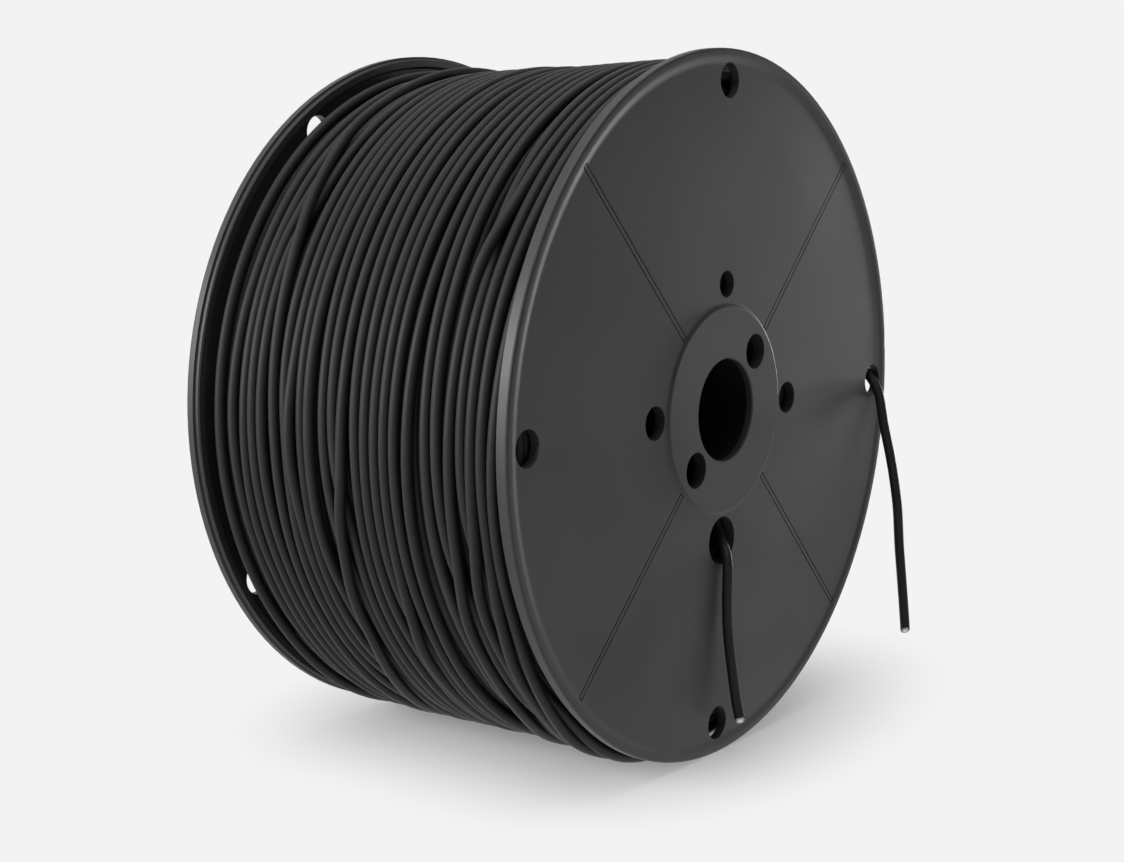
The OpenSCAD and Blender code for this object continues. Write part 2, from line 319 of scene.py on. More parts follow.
# %% Tails
def tail(word, stations, nodes):
    """Sheath, insulation and strands of one tail, each in the place of its own
    CAD node. Five points to a station, and at least 60, keep the sheath round."""
    path = route(stations, max(60, 5 * len(stations)))
    way = unit(path[-1] - path[-2])
    side = np.array([math.cos(CUT_SIDE), -math.sin(CUT_SIDE), 0.0])
    sheath = tube(f"{word}_sheath", path, side, CABLE / 2, 24, ends=((0, 0, -1), None), slant=SLANT)
    core = np.array([path[-1] + step * MM * way for step in INSULATION_STEPS])
    insulation = tube(f"{word}_insulation_end", core, side, INSULATION / 2, 24, slant=SLANT)
    wires = strands(f"{word}_strands", path, way, side)
    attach(sheath, "root"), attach(insulation, "root"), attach(wires, "root")
    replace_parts(sheath, nodes[0]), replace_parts(insulation, nodes[1]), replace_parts(wires, nodes[2])
    sheath, insulation, wires
    return sheath, insulation, wires


start = tail("start_tail", START_ROUTE, ("start_tail", "start_insulation", "start_conductor"))
end = tail("end_tail", END_ROUTE, ("end_tail", "end_insulation", "end_conductor"))

# %% [markdown]
# ## The outer layer of turns
# A machine lays cable in even rows, but on a full reel the last layer wanders:
# turns spread, lean on each other, and some cross over. A perfect helix would
# look like a spring, and random noise like a tangle. So a table says where
# each turn lies across the reel, in millimetres from its middle, at eight
# angles on its way up from the floor (240 degrees) over the left side (180)
# to the top (95). Between these, and round the far side to where the next
# turn begins, a smooth curve runs.

# %% Table of turns
ANGLES = (240, 220, 200, 180, 160, 140, 120, 95)
TURNS = [
    (77, 80, 83, 83, 83, 83, 83, 82.5),
    (63, 67, 71, 75, 72.5, 70, 68, 65.5),
    (57, 61.5, 67.5, 66, 64.5, 63.5, 62.5, 60.5),
    (51, 55.5, 60, 61, 60, 58.5, 56.5, 54.5),
    (47, 51, 54.5, 56, 55.5, 53.5, 51, 49),
    (41.5, 45, 45, 46, 49.5, 55, 59, 61.5),
    (34, 36, 37, 38, 40.5, 41.5, 39.5, 36.5),
    (24.5, 29.5, 34, 37.5, 34.5, 32, 31, 31),
    (18.8, 25.4, 30, 30, 30, 28.3, 26, 24),
    (13, 19, 24.6, 25, 24.8, 23.3, 21.5, 19),
    (8, 9.5, 11, 14.8, 17.7, 18, 16.5, 14),
    (1, 3, 5, 7.5, 10, 11, 10, 8),
    (25, 16.5, 8.8, 3.8, 1.8, 1.6, 1.3, -1),
    (-3, -4, -5, -6.3, -5.5, -5, -5.5, -7),
    (-11, -9.5, -10, -13, -12.2, -10.8, -11.6, -13.5),
    (-19.3, -18.4, -17.5, -18.3, -18.3, -18.8, -19.5, -22),
    (-14.6, -17.4, -20.4, -23.2, -24, -25, -26, -28),
    (-24.6, -25.6, -27.2, -29, -30, -31.2, -32.5, -34.5),
    (-30, -32, -34.8, -37.2, -38.3, -39.7, -41.5, -44),
    (-53, -50.5, -48.3, -47, -46.4, -47, -47.8, -50.5),
    (-65, -62, -57.5, -53.5, -52, -52.4, -53.5, -57),
    (-52, -55.5, -58.9, -60.3, -63.2, -68, -72, -73.2),
    (-77, -74.5, -71.5, -68.4, -66.6, -65.5, -64.5, -64),
    (-64.5, -67.5, -70.3, -73, -74, -74.6, -76, -78.6),
    (-69.5, -72.5, -75.6, -78.8, -80.6, -82, -83.6, -84.2),
    (-74.8, -77.8, -81.6, -86.2, -88.9, -89.6, -89.7, -89.7),
]
# turns from the lowest to the one that lies over all its neighbours
UNDER_TO_OVER = [0, 1, 3, 2, 4, 5, 6, 8, 9, 7, 10, 11, 12, 13, 14, 15, 16, 17, 18, 19, 20, 22, 23, 21, 24, 25]
print("turns in the table:", len(TURNS))

# %% Measures of the winding
PER_TURN = 150   # points
SAG = 2.7        # the loose winding hangs this much low
LOW_R = 165.7    # middle of the layer under it, from the winding's own axis
FLOOR = -177.5
NOWHERE = 400.0  # y of the points before a layer begins and after it ends
STEP = 360 / PER_TURN
END_ANGLE = math.degrees(math.atan2(END[2] + SAG, END[0]))
END_R = math.hypot(END[2] + SAG, END[0])
FIRST = PER_TURN // 2
LAST = len(TURNS) * PER_TURN + int((270 - END_ANGLE) / STEP) + 1
theta = 270 - STEP * np.arange(PER_TURN)
print(f"the layer ends at {END_ANGLE:.1f} degrees, {END_R:.1f} mm from the axis")

# %% [markdown]
# ## Across the reel
# Each row of the table becomes stations on one long line, which runs from
# the first turn to the last without a break. Where two rows come too close,
# the turns push each other apart, as round cables do.

# %% Where the turns lie
CLIMB_IN = ((0.5, 88.2), (0.62, 87.0), (0.75, 83.5))    # (turn, y) before the first row
FAR_SIDE = (0.22, 0.42, 0.62, 0.82)     # stations round the far side, in shares of the way
DONE_EARLY = 1.25                       # a turn has moved over after 1 / 1.25 of that way
LAST_STEPS = ((60, -89), (25, -86.6))   # (angle, y) after the last row
ROOM, CROSSING, MAY_MOVE = 5.55, 2.0, 1.7


def across():
    """y(turn, angle): stations t = turn + (270 - angle) / 360, joined by a cubic.
    Row 0 is the half turn round the far side that climbs from the layer below."""
    t, y = (list(column) for column in zip(*CLIMB_IN))
    for k, row in enumerate(TURNS):
        t += [k + 1 + (270 - a) / 360 for a in ANGLES]
        y += row
        if k + 1 < len(TURNS):
            a, b = row[-1], TURNS[k + 1][0]
            for f in FAR_SIDE:
                t.append(k + 1 + (175 + 215 * f) / 360)
                early = min(1.0, DONE_EARLY * f)
                y.append(a + (b - a) * early * early * (3 - 2 * early))
    last = len(TURNS)
    for a, where in (*LAST_STEPS, (END_ANGLE, END[1]), (-40, END[1])):
        t.append(last + (270 - a) / 360)
        y.append(where)
    at = np.arange((last + 1) * PER_TURN) / PER_TURN
    return curve_through(t, y, at)[:, 0].reshape(last + 1, PER_TURN)


def make_room(y0):
    """Turns that lie side by side but closer than ROOM push each other apart
    along the reel, up to MAY_MOVE from where the table has them. Turns whose
    middles are within CROSSING are crossing, and stay."""
    y = y0.copy()
    for _ in range(80):
        gap = y[:, None] - y[None]
        near = np.abs(gap)
        weight = np.clip((near - CROSSING) / 1.4, 0, 1) * np.clip((ROOM - near) / 0.1, 0, 1)
        push = (weight * np.sign(gap) * (ROOM - near) / 2).sum(1)
        y = y0 + np.clip(y + 0.35 * push - y0, -MAY_MOVE, MAY_MOVE)
        flat_y = y.reshape(-1)
        flat_y[FIRST:LAST] = smooth_line(flat_y[FIRST:LAST], 2)
    return y


planned = across()
flat = planned.reshape(-1)
flat[:FIRST], flat[LAST:] = NOWHERE, -NOWHERE
y_out = make_room(planned)
print(f"neighbours moved by up to {np.abs(y_out - planned).max():.2f} mm")
EASE_IN = 24     # points over which the last turn settles on the tail's own line
flat = y_out.reshape(-1)
ease = np.clip((LAST - 1 - np.arange(LAST - EASE_IN, LAST)) / (EASE_IN - 1), 0, 1)
flat[LAST - EASE_IN:LAST] = END[1] + (flat[LAST - EASE_IN:LAST] - END[1]) * ease
print(f"{(LAST - FIRST) / PER_TURN:.1f} turns, "
      f"y from {flat[FIRST:LAST].min():.1f} to {flat[FIRST:LAST].max():.1f} mm")

# %% [markdown]
# ## The layer underneath
# Between the loose turns the next layer shows. It is wound the other way
# across the reel, so it is a plain helix with a small wander. Its first turn
# starts just past the place where the outer layer ends, which leaves the
# notch that the cable's end drops through.

# %% Under layer
UNDER_TURNS = 29
UNDER_FIRST = int(290 / STEP)       # starts at -20 degrees
UNDER_LAST = UNDER_TURNS * PER_TURN + FIRST
UNDER_Y, UNDER_WIDTH = -88.4, 176.6
UNDER_WANDER = 0.8


def wobble(t, seed):
    """Slow uneven wander: three sines whose periods never fall together, +-1."""
    return (0.5 * np.sin(2 * np.pi * (0.37 * t + 0.13 * seed))
            + 0.3 * np.sin(2 * np.pi * (1.13 * t + 0.41 * seed))
            + 0.2 * np.sin(2 * np.pi * (2.71 * t + 0.77 * seed)))


t_under = np.arange((UNDER_TURNS + 1) * PER_TURN) / PER_TURN
done = (np.clip(t_under, 0.8, UNDER_TURNS + 0.5) - 0.8)
y_low = UNDER_Y + UNDER_WIDTH * done / (UNDER_TURNS - 0.3)
y_low = y_low + UNDER_WANDER * wobble(t_under, 3) * np.clip((-UNDER_Y - np.abs(y_low)) / 8, 0, 1)
y_low[:UNDER_FIRST] = NOWHERE
y_low[UNDER_LAST:] = NOWHERE
y_low = y_low.reshape(-1, PER_TURN)
print(f"under layer: {UNDER_TURNS} turns, pitch {UNDER_WIDTH / (UNDER_TURNS - 0.3):.2f} mm")

# %% [markdown]
# ## How the winding departs from a cylinder
# Loose cable hangs away from the winding near the floor, and a worked reel
# is fuller in some places than in others. Both are a few millimetres, added
# to the radius. Bell curves say where round the reel, and a broken line
# across it says how much, so each bulge has one place to look it up.

# %% Slack and fullness
FULL_Y = [-95, -60, -46, -39, -32, -17, 0, 22, 45, 90]
FULL_R = [2.0, 2.5, 2.5, 1.5, 0.5, -0.4, 0.3, -1.2, -1.5, -1.0]


def slack(angle, amount):
    """Cable hangs away from the winding on both sides of its lowest point:
    amount times two bell curves, at 243 and 297 degrees, and half of it between."""
    a = angle % 360
    bell = lambda c, w: np.exp(-(((a - c) / w) ** 2))
    return amount * (bell(243, 17) + bell(297, 17) + 0.45 * bell(270, 14))


def fullness(y, angle):
    """The winding isn't a true cylinder: over the top it is fuller towards the
    front flange and thinner towards the rear one, and in front it bags down
    at 250 degrees. Straight lines across the reel, bell curves around it."""
    a = angle % 360
    over = np.interp(y, FULL_Y, FULL_R)
    under = 3.2 * np.exp(-(((y + 80) / 15) ** 2))
    return over * np.exp(-(((a - 80) / 38) ** 2)) + under * np.exp(-(((a - 250) / 17) ** 2))


uneven = 0.25 * wobble(t_under.reshape(-1, PER_TURN), 8)
r_low = LOW_R + uneven + slack(theta, 0.9) + fullness(y_low, theta)
in_layer = np.abs(y_low) < NOWHERE
print(f"under layer's radius {r_low[in_layer].min():.1f} to {r_low[in_layer].max():.1f} mm")

# %% [markdown]
# ## How high each turn lies
# A round cable that crosses another is lifted: if their middles are dy apart
# sideways, the upper one is sqrt(d^2 - dy^2) higher. That is all the physics
# a winding needs. A rigid body or cloth simulation of 28 m of cable would
# take hours, and this takes a second: start every turn low, let it pull
# itself tight, and lift it wherever it would sink into a cable that it lies
# over. Repeated a few hundred times, this settles into the long easy humps
# of a real crossing.

# %% Relax the radius
SQUEEZE = 0.45          # the sheath gives a little where cables press together
D2 = (CABLE / MM - SQUEEZE) ** 2
ROUNDS, TENSION, PULL = 260, 0.45, 0.06     # rounds, share of a bend evened out, mm drawn in
GIVE, GIVE_REACH = 0.55, 8.0                # share of its height that a crossing sinks, and how wide


def lift(over, under):
    """sqrt(d^2 - dy^2) where two cables are closer than a diameter, else a large drop."""
    dy2 = (over - under) ** 2
    return np.where(dy2 < D2, np.sqrt(np.maximum(D2 - dy2, 0)), -99.0)


turn_no = (np.arange(y_out.size) / PER_TURN).reshape(y_out.shape)
slack_each = 1.5 + 0.9 * np.sin(2.3 * np.arange(len(y_out)))[:, None]
floor_r = (r_low[None] + lift(y_out[:, None], y_low[None])).max(1)
floor_r = np.maximum(floor_r, LOW_R - 0.2 + fullness(y_out, theta)) + 0.15 * (1 + wobble(turn_no, 5))
floor_r = floor_r + slack(theta, slack_each) * np.clip((y_out + 92) / 12, 0.25, 1)
order = [0] + [k + 1 for k in UNDER_TO_OVER]
radius = floor_r.copy()
for _ in range(ROUNDS):
    line = radius.reshape(-1)
    part = line[FIRST:LAST]
    ends = np.concatenate([part[:1], part, part[-1:]])
    line[FIRST:LAST] = part + TENSION * (ends[2:] + ends[:-2] - 2 * part) - PULL
    radius = np.maximum(line.reshape(y_out.shape), floor_r)
    for i, k in enumerate(order[1:], 1):
        below = order[:i]
        radius[k] = np.maximum(radius[k], (radius[below] + lift(y_out[k], y_out[below])).max(0))
lifted = np.clip(radius - floor_r, 0, None)
lifted.reshape(-1)[:FIRST], lifted.reshape(-1)[LAST:] = 0.0, 0.0


def give(y):
    """How far a crossing sinks at y: the loose layers below give way by GIVE of
    its height, and everything within some GIVE_REACH goes down with it."""
    reach = np.exp(-(((y[:, None] - y_out[None]) / GIVE_REACH) ** 2))
    return GIVE * (lifted[None] * reach).max(1)


radius, r_low = radius - give(y_out), r_low - give(y_low)
sunk = (radius - floor_r).reshape(-1)[FIRST:LAST].max()
print(f"highest crossing {lifted.max():.1f} mm above its bed, {sunk:.1f} after it sinks")

# %% [markdown]
# ## The layers as tubes
# Now every point has an angle, a radius and a place across the reel, which
# makes a path in space. The two layers are one unbroken tube each, as the
# cable itself is. Over its last degrees the outer layer comes to the exact
# point where the tail starts, pointing straight down, so no seam shows.

# %% Outer and under turns as tubes
FLOOR_GAP, SOFTNESS = 0.3, 0.8      # mm between cable and floor, and how softly it is kept
HAND_OVER = 40                      # degrees over which the radius comes to the tail's


def ring_path(angle_deg, r, y):
    """(r cos a, y, r sin a - sag), kept off the floor by a soft limit."""
    a = np.radians(angle_deg)
    x, z = r * np.cos(a), r * np.sin(a) - SAG
    low = FLOOR + CABLE / MM / 2 + FLOOR_GAP
    z = low + SOFTNESS * np.logaddexp(0, (z - low) / SOFTNESS)
    return np.stack([x, y, z], -1) * MM


def outward(path):
    """Away from the reel's axis."""
    return path * np.array([1.0, 0.0, 1.0])


angle = (270 - 360 * np.arange(y_out.size) / PER_TURN)[FIRST:LAST]
r = smooth_line(radius.reshape(-1)[FIRST:LAST], 3)
y = y_out.reshape(-1)[FIRST:LAST]
near_end = np.clip((angle - angle[-1]) / HAND_OVER, 0, 1) ** 2
r = END_R + (r - END_R) * near_end
path = ring_path(angle, r, y)
path = np.concatenate([path[:-1], END[None] * MM])
outer_turns = tube("outer_layer", path, outward(path), CABLE / 2, 14, ends=(None, (0, 0, -1)))
print(f"outer layer: {distance_along(path)[-1]:.1f} m of cable, "
      f"{len(outer_turns.data.polygons)} faces")

pick = slice(UNDER_FIRST, UNDER_LAST, 2)
angle = (270 - 360 * np.arange(y_low.size) / PER_TURN)[pick]
path = ring_path(angle, r_low.reshape(-1)[pick], y_low.reshape(-1)[pick])
under_turns = tube("under_layer", path, outward(path), CABLE / 2, 12)
print(f"under layer: {len(under_turns.data.polygons)} faces")

# %% [markdown]
# ## What fills the reel below
# The layers further in are never seen whole, only as ridges in a gap and as
# the ends of the layers behind the flange's holes. Winding all 500 m would
# cost millions of faces that nobody sees. One closed ring with a ridged
# outside stands for them instead.

# %% Ridged core
BARREL_R, WOUND = 55, 111       # the sag grows from nothing here, over this much radius
CORE_R, RIDGE_R, RIDGE_PITCH, CORE_HALF = 55.2, 160.3, 6.0, 82.0


def hang(r):
    """How low the winding hangs at radius r: SAG (r - 55) / 111."""
    return SAG * (r - BARREL_R) / WOUND


def ridged_core():
    """A closed profile carried round the axis. The outside is
    r(y) = 160.3 + sqrt(c^2 - u^2), with c the cable's radius and u the distance
    to the nearest of the ridges, which are 6 mm apart."""
    c = CABLE / MM / 2
    y = np.linspace(-CORE_HALF, CORE_HALF, 221)
    u = (y / RIDGE_PITCH - np.round(y / RIDGE_PITCH)) * RIDGE_PITCH
    ridge = RIDGE_R + np.sqrt(np.maximum(c * c - u * u, 0.0))
    prof_y = np.concatenate([[-CORE_HALF], y, [CORE_HALF]])
    prof_r = np.concatenate([[CORE_R], ridge, [CORE_R]])
    a = np.radians(np.arange(0, 360, 5))
    grid = np.stack([prof_r[None] * np.cos(a)[:, None],
                     np.broadcast_to(prof_y, (len(a), len(prof_y))),
                     prof_r[None] * np.sin(a)[:, None] - hang(prof_r)[None]], -1)
    quads = grid_quads(*grid.shape[:2], ring=True, turned=True)
    return mesh_from("inner_layers", grid.reshape(-1, 3) * MM, quads, np.zeros((0, 3), int))


core = ridged_core()
print(f"ridged core: {len(core.data.polygons)} faces")

# %% [markdown]
# ## The sides of the winding
# Behind each flange lies the side of the winding, where every layer turns
# round to go back. Through the flange's holes it shows as arcs of cable, one
# under the other. A flat spiral of cable gives these with few faces. In
# front it draws back where the two tails come out, so nothing touches them.

# %% Flank spirals
FLANK_TURNS, PER_FLANK_TURN = 20.2, 84
FLANK_R, FLANK_PITCH = 57.9, 5.05
FLANK_Y = 90.0                      # the flank's middle line, before it wanders inwards


def room_for(a, r_past, middle, width, depth):
    """depth times a bell curve of the angle round `middle`, times a soft step
    that is 1 where r_past is below zero and 0 above."""
    off = (a - middle + 180) % 360 - 180
    return depth * np.exp(-(off / width) ** 2) / (1 + np.exp(r_past / 2))


def flank(name, side, seed, tails):
    """r(t) = 57.9 + 5.05 t over 20.2 turns, with y just inside the flange and a
    slow wander; `tails` pushes it in where a tail needs room."""
    t = np.arange(0, FLANK_TURNS, 1 / PER_FLANK_TURN)
    a = seed * 37 - 360 * t
    r = FLANK_R + FLANK_PITCH * t
    inward = 0.9 + 0.8 * wobble(t, seed) + 0.6 * np.sin(np.pi * np.floor(t))
    inward = smooth_line(inward, 6)
    if tails:
        inward = inward + room_for(a, r - 73, 281, 17, 7.0)     # behind the start hole
        inward = inward + room_for(a, 151 - r, 6, 9, 6.0)       # behind the end hole
    y = side * (FLANK_Y - inward)
    w = np.radians(a)
    path = np.stack([r * np.cos(w), y, r * np.sin(w) - hang(r)], -1) * MM
    return tube(name, path, (0.0, float(side), 0.0), CABLE / 2, 8)


flank_front = flank("front_flank_turns", -1, 2, True)
flank_rear = flank("rear_flank_turns", 1, 5, False)
for piece in (core, flank_front, flank_rear, under_turns, outer_turns):
    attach(piece, "root")
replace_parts(core, "cable_pack")
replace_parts(outer_turns, "outer_turns")
print("flanks:", len(flank_front.data.polygons), "faces each")

# %% [markdown]
# ## Node helpers
# A material is a small program drawn as boxes. Each helper here makes one
# box, feeds it numbers or other boxes' outputs, and returns its own output,
# so that a material below reads like a sentence.


# %% Node helpers
def feed(tree, socket, value):
    """Links another socket to this one, or sets it to a plain value."""
    if isinstance(value, bpy.types.NodeSocket):
        tree.links.new(value, socket)
    else:
        socket.default_value = value


def noise(tree, vector, scale, detail):
    """A noise texture; scale is a number or a socket."""
    n = tree.nodes.new("ShaderNodeTexNoise")
    n.inputs["Roughness"].default_value = 0.55
    for key, value in (("Vector", vector), ("Scale", scale), ("Detail", detail)):
        feed(tree, n.inputs[key], value)
    return n.outputs["Fac"]


def spread(tree, value, low, high, to_low=0.0, to_high=1.0):
    """Map Range: low..high to to_low..to_high, clamped and smooth."""
    n = tree.nodes.new("ShaderNodeMapRange")
    n.interpolation_type = "SMOOTHSTEP"
    for key, x in zip(("From Min", "From Max", "To Min", "To Max"), (low, high, to_low, to_high)):
        n.inputs[key].default_value = x
    feed(tree, n.inputs["Value"], value)
    return n.outputs["Result"]


def maths(tree, operation, *values):
    """A Math node on sockets or plain numbers."""
    n = tree.nodes.new("ShaderNodeMath")
    n.operation = operation
    for socket, value in zip(n.inputs, values):
        feed(tree, socket, value)
    return n.outputs[0]


def mixed(tree, factor, first, second):
    """A colour: the first where the factor is 0, the second where it is 1."""
    n = tree.nodes.new("ShaderNodeMix")
    n.data_type = "RGBA"
    for socket, value in zip((n.inputs[0], n.inputs[6], n.inputs[7]), (factor, first, second)):
        feed(tree, socket, value)
    return n.outputs[2]


def mixed_shader(tree, factor, first, second):
    """A shader: the first where the factor is 0, the second where it is 1."""
    n = tree.nodes.new("ShaderNodeMixShader")
    for socket, value in zip(n.inputs, (factor, first, second)):
        feed(tree, socket, value)
    return n.outputs[0]


def any_of(tree, rays, *kinds):
    """1 where a ray is of one of the kinds, else 0."""
    total = rays.outputs[kinds[0]]
    for kind in kinds[1:]:
        total = maths(tree, "MAXIMUM", total, rays.outputs[kind])
    return total


print("node helpers ready")

# %% [markdown]
# ## Node groups
# Grain and cloudiness are wanted in several finishes, so each is a group
# with named inputs, built once and placed in each material with its own
# values. A group only puts out masks and heights; the shader stays in the
# material.


# %% Groups
def group(name, inputs, outputs):
    """An empty node group with named sockets: {name: (type, default)}."""
    g = bpy.data.node_groups.new(name, "ShaderNodeTree")
    for label, (kind, value) in inputs.items():
        socket = g.interface.new_socket(label, in_out="INPUT", socket_type=kind)
        if value is not None:
            socket.default_value = value
    for label in outputs:
        g.interface.new_socket(label, in_out="OUTPUT", socket_type="NodeSocketFloat")
    return g, g.nodes.new("NodeGroupInput"), g.nodes.new("NodeGroupOutput")


def placed(tree, made_group, values):
    """A group in a material, with its own values; gives the group's outputs."""
    n = tree.nodes.new("ShaderNodeGroup")
    n.node_tree = made_group
    for label, value in values.items():
        feed(tree, n.inputs[label], value)
    return n.outputs


def grain_group():
    """Height of a moulded or extruded skin (fine noise), and a slow cloud mask."""
    g, i, o = group("skin_grain", {"Vector": ("NodeSocketVector", None),
                                   "Fine Scale": ("NodeSocketFloat", 900.0),
                                   "Cloud Scale": ("NodeSocketFloat", 14.0)}, ("Height", "Cloud"))
    fine = noise(g, i.outputs["Vector"], i.outputs["Fine Scale"], 2.0)
    cloud = noise(g, i.outputs["Vector"], i.outputs["Cloud Scale"], 5.0)
    feed(g, o.inputs["Height"], fine)
    feed(g, o.inputs["Cloud"], spread(g, cloud, 0.35, 0.65))
    return g


def specks_group():
    """A mask of sparse dust specks: the near ends of Voronoi cells, thinned by a noise."""
    g, i, o = group("dust_specks", {"Vector": ("NodeSocketVector", None),
                                    "Scale": ("NodeSocketFloat", 260.0)}, ("Mask",))
    v = g.nodes.new("ShaderNodeTexVoronoi")
    feed(g, v.inputs["Vector"], i.outputs["Vector"])
    feed(g, v.inputs["Scale"], i.outputs["Scale"])
    near = spread(g, v.outputs["Distance"], 0.06, 0.14, 1.0, 0.0)
    thin = spread(g, noise(g, i.outputs["Vector"], 40.0, 1.0), 0.58, 0.66)
    feed(g, o.inputs["Mask"], maths(g, "MULTIPLY", near, thin))
    return g


GRAIN, SPECKS = grain_group(), specks_group()
print("groups:", GRAIN.name, SPECKS.name)

# %% [markdown]
# ## The finishes
# The flanges are black plastic with a satin skin and a few specks of dust.
# The barrel and the arbor tube are a duller grade of it, coloured almost
# black as painted shade for the deep bore. The cable's sheath is matt and
# finely drawn out along the cable, so its pattern follows the UV map that
# measures along it. All are nearly one plain colour; what makes them look
# real is the small change in roughness from place to place, more than any
# pattern in the colour.


# %% One way to make a finish
def finish(name, source, colours, rough, fine, cloud, bump,
           stretch=None, specks=0.0, metal=0.0, specular=0.5):
    """A finish from the two groups: colour and roughness follow the cloud mask
    between their two values, the bump follows the fine grain."""
    m = bpy.data.materials.new(name)
    m.use_nodes = True
    tree = m.node_tree
    shader = tree.nodes["Principled BSDF"]
    coords = tree.nodes.new("ShaderNodeTexCoord")
    vector = coords.outputs[source]
    if stretch:
        mapping = tree.nodes.new("ShaderNodeMapping")
        mapping.inputs["Scale"].default_value = stretch
        feed(tree, mapping.inputs["Vector"], vector)
        vector = mapping.outputs["Vector"]
    skin = placed(tree, GRAIN, {"Fine Scale": fine, "Cloud Scale": cloud, "Vector": vector})
    colour = mixed(tree, skin["Cloud"], (*colours[0], 1), (*colours[1], 1))
    if specks:
        dust = placed(tree, SPECKS, {"Vector": coords.outputs["Object"]})
        colour = mixed(tree, dust["Mask"], colour, (specks, specks, specks, 1))
    b = tree.nodes.new("ShaderNodeBump")
    b.inputs["Strength"].default_value, b.inputs["Distance"].default_value = bump
    feed(tree, b.inputs["Height"], skin["Height"])
    feed(tree, shader.inputs["Base Color"], colour)
    feed(tree, shader.inputs["Roughness"], spread(tree, skin["Cloud"], 0, 1, *rough))
    feed(tree, shader.inputs["Normal"], b.outputs["Normal"])
    shader.inputs["Metallic"].default_value = metal
    shader.inputs["Specular IOR Level"].default_value = specular
    return m


print("finish ready")

# %% Finishes of the reel
moulded = finish("satin_black_moulding", "Object",
                 ((0.030, 0.030, 0.0305), (0.035, 0.035, 0.0355)), (0.42, 0.50),
                 1400.0, 11.0, (0.10, 0.0002), specks=0.07, specular=0.40)
# Painted shade: the barrel and the arbor tube get an almost black colour for the shade deep in the bore
bore_painted_shade = finish("painted_shade_dull_black", "Object",
                  ((0.003, 0.003, 0.003), (0.005, 0.005, 0.005)), (0.60, 0.70),
                  900.0, 16.0, (0.15, 0.0002), specular=0.15)
sheath = finish("matt_black_sheath", "UV",
                ((0.018, 0.018, 0.0185), (0.024, 0.024, 0.0245)), (0.48, 0.58),
                1.0, 0.03, (0.12, 0.0002), stretch=(60.0, 1500.0, 1.0), specular=0.2)
white = finish("white_insulation", "Object",
               ((0.80, 0.80, 0.77), (0.88, 0.88, 0.86)), (0.45, 0.55),
               2500.0, 900.0, (0.2, 0.0001))
tin = finish("bright_tin", "Object",
             ((0.62, 0.62, 0.64), (0.72, 0.72, 0.74)), (0.30, 0.42),
             3000.0, 1500.0, (0.2, 0.0001), metal=1.0)


def paint(piece, material):
    """Gives a piece one material, in its first slot."""
    piece.data.materials.clear()
    piece.data.materials.append(material)


for piece in (core, flank_front, flank_rear, under_turns, outer_turns, start[0], end[0]):
    paint(piece, sheath)
for tail_pieces in (start, end):
    paint(tail_pieces[1], white)
    paint(tail_pieces[2], tin)
for name, material in (("front_flange", moulded), ("rear_flange", moulded),
                       ("barrel", bore_painted_shade), ("arbor_tube", bore_painted_shade)):
    paint(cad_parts[name], material)
print("finishes:", [m.name for m in (moulded, bore_painted_shade, sheath, white, tin)])

# %% [markdown]
# ## The floor
# The floor is a pale sheet that the reel stands and throws its shadow on.
# A plain grey sheet would end in a horizon. So away from the reel it fades,
# for the camera alone, into the same plain white as the surroundings. Near
# the reel a smaller share of that white glows too, a painted light that
# lifts the shadow, and the reaches below shape how far the shadow shows.

# %% Floor
WHITE = 0.896                       # the plain background
PAPER, PAPER_ROUGH, PAPER_SPECULAR = 0.62, 0.9, 0.1
FLOOR_R, FLOOR_RINGS = 6.0, 25
# The reaches say how far the real shadow shows before painted white covers it; FADE_LEAST is the white's
# share at the foot, a painted lift of the shadow
REACH_RIGHT, REACH_LEFT = 0.27, 0.16    # how far the shadow reaches beside the reel
FOOT, REACH_PAST = 0.05, 0.12           # the foot's half width, and the reach past it
FADE_FROM, FADE_TO, FADE_LEAST = 0.15, 1.1, 0.22


def floor_disc():
    """x = R q cos a, y = R q sin a with q from 0 to 1 in rings; z is the reel's lowest point."""
    q = np.linspace(0, 1, FLOOR_RINGS)[1:] ** 2 * FLOOR_R
    a = np.radians(np.arange(0, 360, 5))
    z = FLOOR * MM
    grid = np.stack([q[:, None] * np.cos(a), q[:, None] * np.sin(a), np.full((len(q), len(a)), z)], -1)
    rows, columns = grid.shape[:2]
    k = np.arange(columns)
    tris = np.stack([np.full(columns, rows * columns), k, (k + 1) % columns], -1)
    verts = np.concatenate([grid.reshape(-1, 3), [[0, 0, z]]])
    return mesh_from("floor", verts, grid_quads(rows, columns, turned=True), tris)


floor = floor_disc()
paper = bpy.data.materials.new("floor_paper")
paper.use_nodes = True
tree = paper.node_tree
shader = tree.nodes["Principled BSDF"]
shader.inputs["Base Color"].default_value = (PAPER, PAPER, PAPER, 1)
shader.inputs["Roughness"].default_value = PAPER_ROUGH
shader.inputs["Specular IOR Level"].default_value = PAPER_SPECULAR
glow = tree.nodes.new("ShaderNodeEmission")
glow.inputs["Color"].default_value = (WHITE, WHITE, WHITE, 1)
